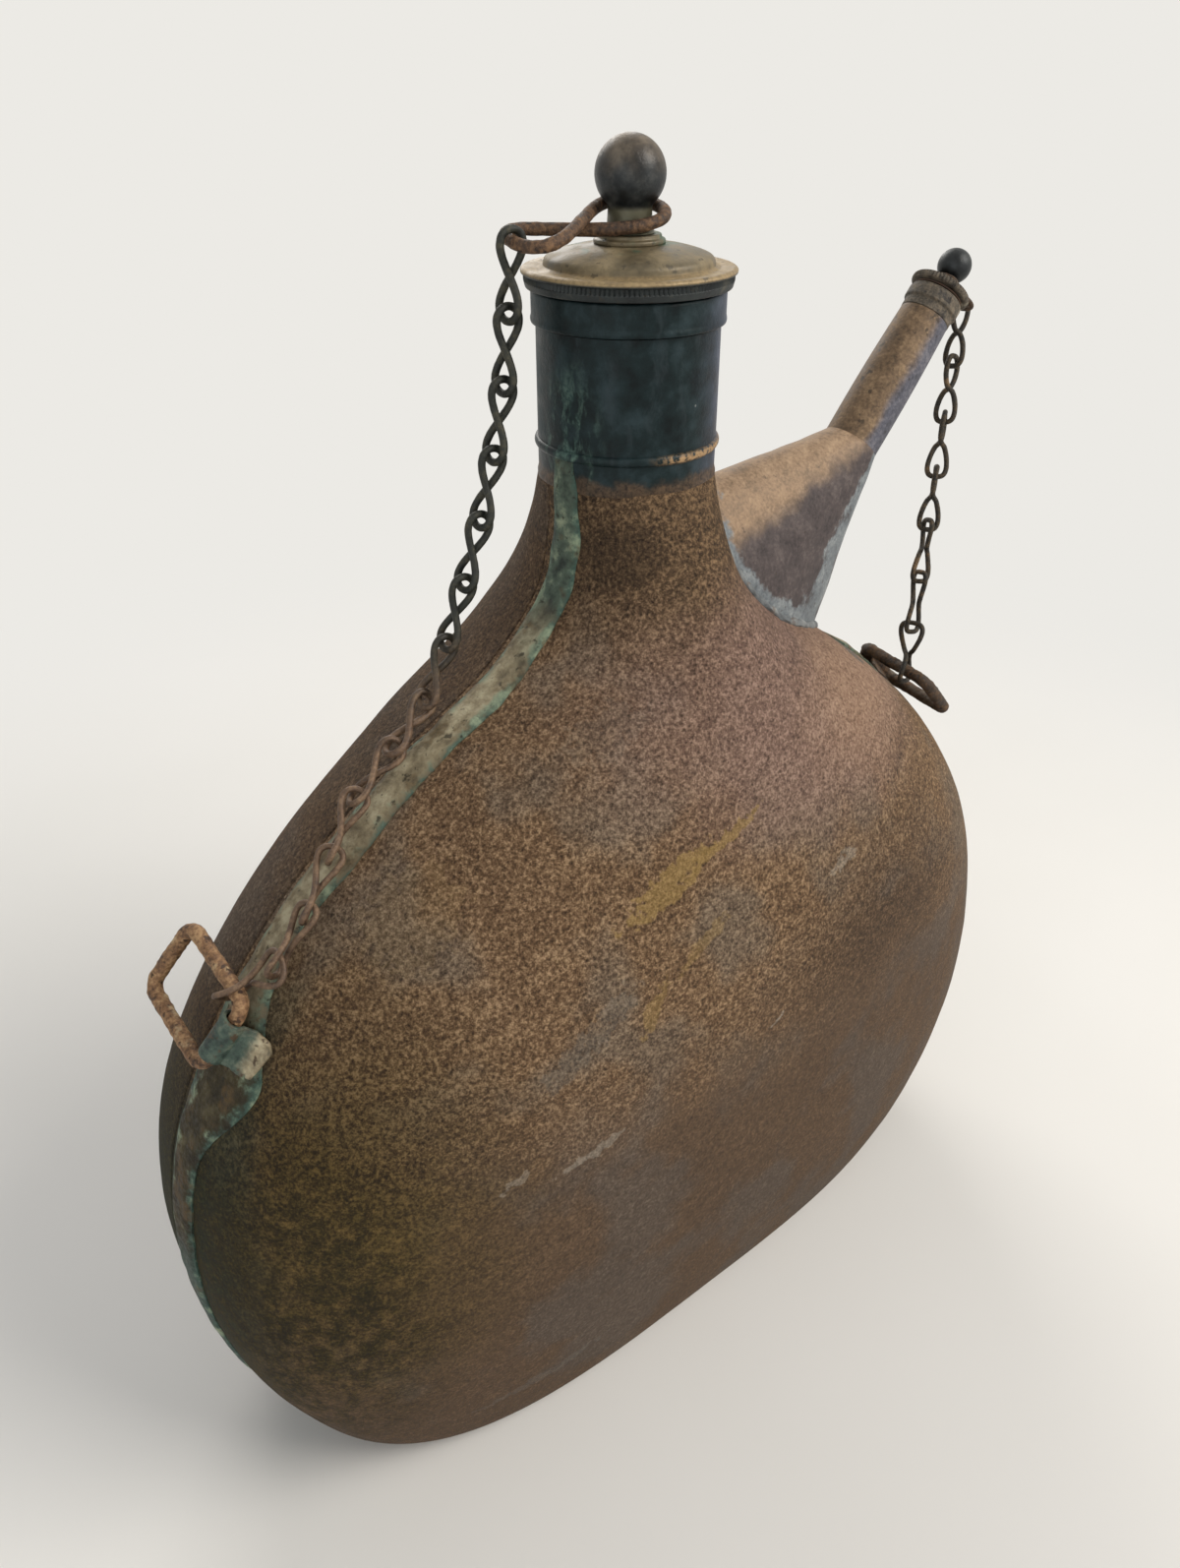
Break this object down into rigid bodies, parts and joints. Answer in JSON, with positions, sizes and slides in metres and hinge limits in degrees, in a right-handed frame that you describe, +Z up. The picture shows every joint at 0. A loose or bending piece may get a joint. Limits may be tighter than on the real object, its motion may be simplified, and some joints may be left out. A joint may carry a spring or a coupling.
{
  "type": "field canteen",
  "caption": "Flat-sided metal field canteen with a round neck, chained screw stopper, slanted side spout with its own chained stopper, and wire strap loops.",
  "frame": {"origin": "on the flat base, below the axis of the neck", "axes": "+Z up along the neck, +X towards the side spout, -Y towards the front face, seams in the XZ plane"},
  "size_m": [0.2488, 0.1082, 0.2881],
  "materials": {
    "iron": "thin tinned iron sheet, worn, pitted and rusted brown",
    "solder": "tin solder and tinned sheet, dull grey-green",
    "brass": "brass with a dark blue-black patina",
    "bronze": "brass, dusty olive-brown patina",
    "leather": "dark leather sealing washer",
    "wire": "iron wire and sheet, rusted orange-brown",
    "chain": "twisted iron wire chain, dark with rusty tan wear"
  },
  "bodies": {
    "root": {"body_front_half": "iron", "body_back_half": "iron", "spout_base": "iron", "seam_solder_left": "solder", "seam_solder_right": "solder", "neck_tube": "brass", "neck_rim": "brass", "left_bracket": "solder", "right_bracket": "wire", "spout_tube": "iron", "spout_ferrule": "bronze", "chain_left_08": "chain"},
    "stopper_link": {"stopper_link": "wire"},
    "stopper": {"stopper_washer": "leather", "stopper_plug": "brass", "stopper_cap": "bronze", "stopper_collar": "bronze", "stopper_knob": "brass"},
    "spout_link": {"spout_link": "wire"},
    "spout_stopper": {"spout_washer": "leather", "spout_plug": "brass", "spout_cap": "bronze", "spout_knob": "brass"},
    "left_loop": {"left_strap_loop": "wire"},
    "right_loop": {"right_strap_loop": "wire"},
    "chain_left_01": {"chain_left_01": "chain"},
    "chain_left_02": {"chain_left_02": "chain"},
    "chain_left_03": {"chain_left_03": "chain"},
    "chain_left_04": {"chain_left_04": "chain"},
    "chain_left_05": {"chain_left_05": "chain"},
    "chain_left_06": {"chain_left_06": "chain"},
    "chain_left_07": {"chain_left_07": "chain"},
    "chain_left_09": {"chain_left_09": "chain"},
    "chain_left_10": {"chain_left_10": "chain"},
    "chain_left_11": {"chain_left_11": "chain"},
    "chain_left_12": {"chain_left_12": "chain"},
    "chain_left_13": {"chain_left_13": "chain"},
    "chain_right_01": {"chain_right_01": "chain"},
    "chain_right_02": {"chain_right_02": "chain"},
    "chain_right_03": {"chain_right_03": "chain"},
    "chain_right_04": {"chain_right_04": "chain"},
    "chain_right_05": {"chain_right_05": "chain"},
    "chain_right_06": {"chain_right_06": "chain"},
    "chain_right_07": {"chain_right_07": "chain"}
  },
  "joints": [
    {"name": "stopper_lift", "type": "slide", "parent": "root", "child": "stopper_link", "axis": [0, 0, 1], "range_m": [0, 0.0065]},
    {"name": "stopper_turn", "type": "hinge", "parent": "stopper_link", "child": "stopper", "pos_m": [0, 0, 0.26], "axis": [0, 0, 1], "range_deg": [0, 585]},
    {"name": "spout_stopper_lift", "type": "slide", "parent": "root", "child": "spout_link", "axis": [0.6455, 0, 0.7638], "range_m": [0, 0.0026]},
    {"name": "spout_stopper_turn", "type": "hinge", "parent": "spout_link", "child": "spout_stopper", "pos_m": [0.07096, 0, 0.21971], "axis": [0.6455, 0, 0.7638], "range_deg": [0, 312]},
    {"name": "left_loop_swing", "type": "hinge", "parent": "root", "child": "left_loop", "pos_m": [-0.10725, -0.008, 0.13802], "axis": [0.5593, -0.2351, 0.7949], "range_deg": [0, 25]},
    {"name": "right_loop_swing", "type": "hinge", "parent": "root", "child": "right_loop", "pos_m": [0.09368, 0.0005, 0.15459], "axis": [-0.6907, 0, 0.7231], "range_deg": [0, 12]},
    {"name": "chain_left_01_follow", "type": "slide", "parent": "root", "child": "chain_left_01", "axis": [0, 0, 1], "range_m": [0, 0.0065]},
    {"name": "chain_left_02_follow", "type": "slide", "parent": "root", "child": "chain_left_02", "axis": [0, 0, 1], "range_m": [0, 0.00557]},
    {"name": "chain_left_03_follow", "type": "slide", "parent": "root", "child": "chain_left_03", "axis": [0, 0, 1], "range_m": [0, 0.00464]},
    {"name": "chain_left_04_follow", "type": "slide", "parent": "root", "child": "chain_left_04", "axis": [0, 0, 1], "range_m": [0, 0.00372]},
    {"name": "chain_left_05_follow", "type": "slide", "parent": "root", "child": "chain_left_05", "axis": [0, 0, 1], "range_m": [0, 0.00279]},
    {"name": "chain_left_06_follow", "type": "slide", "parent": "root", "child": "chain_left_06", "axis": [0, 0, 1], "range_m": [0, 0.00186]},
    {"name": "chain_left_07_follow", "type": "slide", "parent": "root", "child": "chain_left_07", "axis": [0, 0, 1], "range_m": [0, 0.00093]},
    {"name": "chain_left_09_follow", "type": "slide", "parent": "root", "child": "chain_left_09", "axis": [-0.804, -0.3876, 0.451], "range_m": [0, 0.000434]},
    {"name": "chain_left_10_follow", "type": "slide", "parent": "root", "child": "chain_left_10", "axis": [-0.804, -0.3876, 0.451], "range_m": [0, 0.000867]},
    {"name": "chain_left_11_follow", "type": "slide", "parent": "root", "child": "chain_left_11", "axis": [-0.804, -0.3876, 0.451], "range_m": [0, 0.0013]},
    {"name": "chain_left_12_follow", "type": "slide", "parent": "root", "child": "chain_left_12", "axis": [-0.804, -0.3876, 0.451], "range_m": [0, 0.00173]},
    {"name": "chain_left_13_follow", "type": "slide", "parent": "root", "child": "chain_left_13", "axis": [-0.804, -0.3876, 0.451], "range_m": [0, 0.00217]},
    {"name": "chain_right_01_follow", "type": "slide", "parent": "root", "child": "chain_right_01", "axis": [0.6455, 0, 0.7638], "range_m": [0, 0.00195]},
    {"name": "chain_right_02_follow", "type": "slide", "parent": "root", "child": "chain_right_02", "axis": [0.6455, 0, 0.7638], "range_m": [0, 0.0013]},
    {"name": "chain_right_03_follow", "type": "slide", "parent": "root", "child": "chain_right_03", "axis": [0.6455, 0, 0.7638], "range_m": [0, 0.000651]},
    {"name": "chain_right_04_follow", "type": "slide", "parent": "root", "child": "chain_right_04", "axis": [0.7231, 0, 0.6907], "range_m": [0, 0.000812]},
    {"name": "chain_right_05_follow", "type": "slide", "parent": "root", "child": "chain_right_05", "axis": [0.7231, 0, 0.6907], "range_m": [0, 0.00162]},
    {"name": "chain_right_06_follow", "type": "slide", "parent": "root", "child": "chain_right_06", "axis": [0.7231, 0, 0.6907], "range_m": [0, 0.00243]},
    {"name": "chain_right_07_follow", "type": "slide", "parent": "root", "child": "chain_right_07", "axis": [0.7231, 0, 0.6907], "range_m": [0, 0.00324]}
  ],
  "couplings": [
    {"joint": "stopper_turn", "follows": "stopper_lift", "rad_per_m": 1570.8},
    {"joint": "spout_stopper_turn", "follows": "spout_stopper_lift", "rad_per_m": 2094.4},
    {"joint": "chain_left_01_follow", "follows": "stopper_lift", "ratio": 1},
    {"joint": "chain_left_02_follow", "follows": "stopper_lift", "ratio": 0.85714},
    {"joint": "chain_left_03_follow", "follows": "stopper_lift", "ratio": 0.71429},
    {"joint": "chain_left_04_follow", "follows": "stopper_lift", "ratio": 0.57143},
    {"joint": "chain_left_05_follow", "follows": "stopper_lift", "ratio": 0.42857},
    {"joint": "chain_left_06_follow", "follows": "stopper_lift", "ratio": 0.28571},
    {"joint": "chain_left_07_follow", "follows": "stopper_lift", "ratio": 0.14286},
    {"joint": "chain_left_09_follow", "follows": "left_loop_swing", "m_per_rad": 0.0009921},
    {"joint": "chain_left_10_follow", "follows": "left_loop_swing", "m_per_rad": 0.0019842},
    {"joint": "chain_left_11_follow", "follows": "left_loop_swing", "m_per_rad": 0.0029763},
    {"joint": "chain_left_12_follow", "follows": "left_loop_swing", "m_per_rad": 0.0039683},
    {"joint": "chain_left_13_follow", "follows": "left_loop_swing", "m_per_rad": 0.0049604},
    {"joint": "chain_right_01_follow", "follows": "spout_stopper_lift", "ratio": 0.75},
    {"joint": "chain_right_02_follow", "follows": "spout_stopper_lift", "ratio": 0.5},
    {"joint": "chain_right_03_follow", "follows": "spout_stopper_lift", "ratio": 0.25},
    {"joint": "chain_right_04_follow", "follows": "right_loop_swing", "m_per_rad": 0.0038679},
    {"joint": "chain_right_05_follow", "follows": "right_loop_swing", "m_per_rad": 0.0077358},
    {"joint": "chain_right_06_follow", "follows": "right_loop_swing", "m_per_rad": 0.011604},
    {"joint": "chain_right_07_follow", "follows": "right_loop_swing", "m_per_rad": 0.015472}
  ]
}
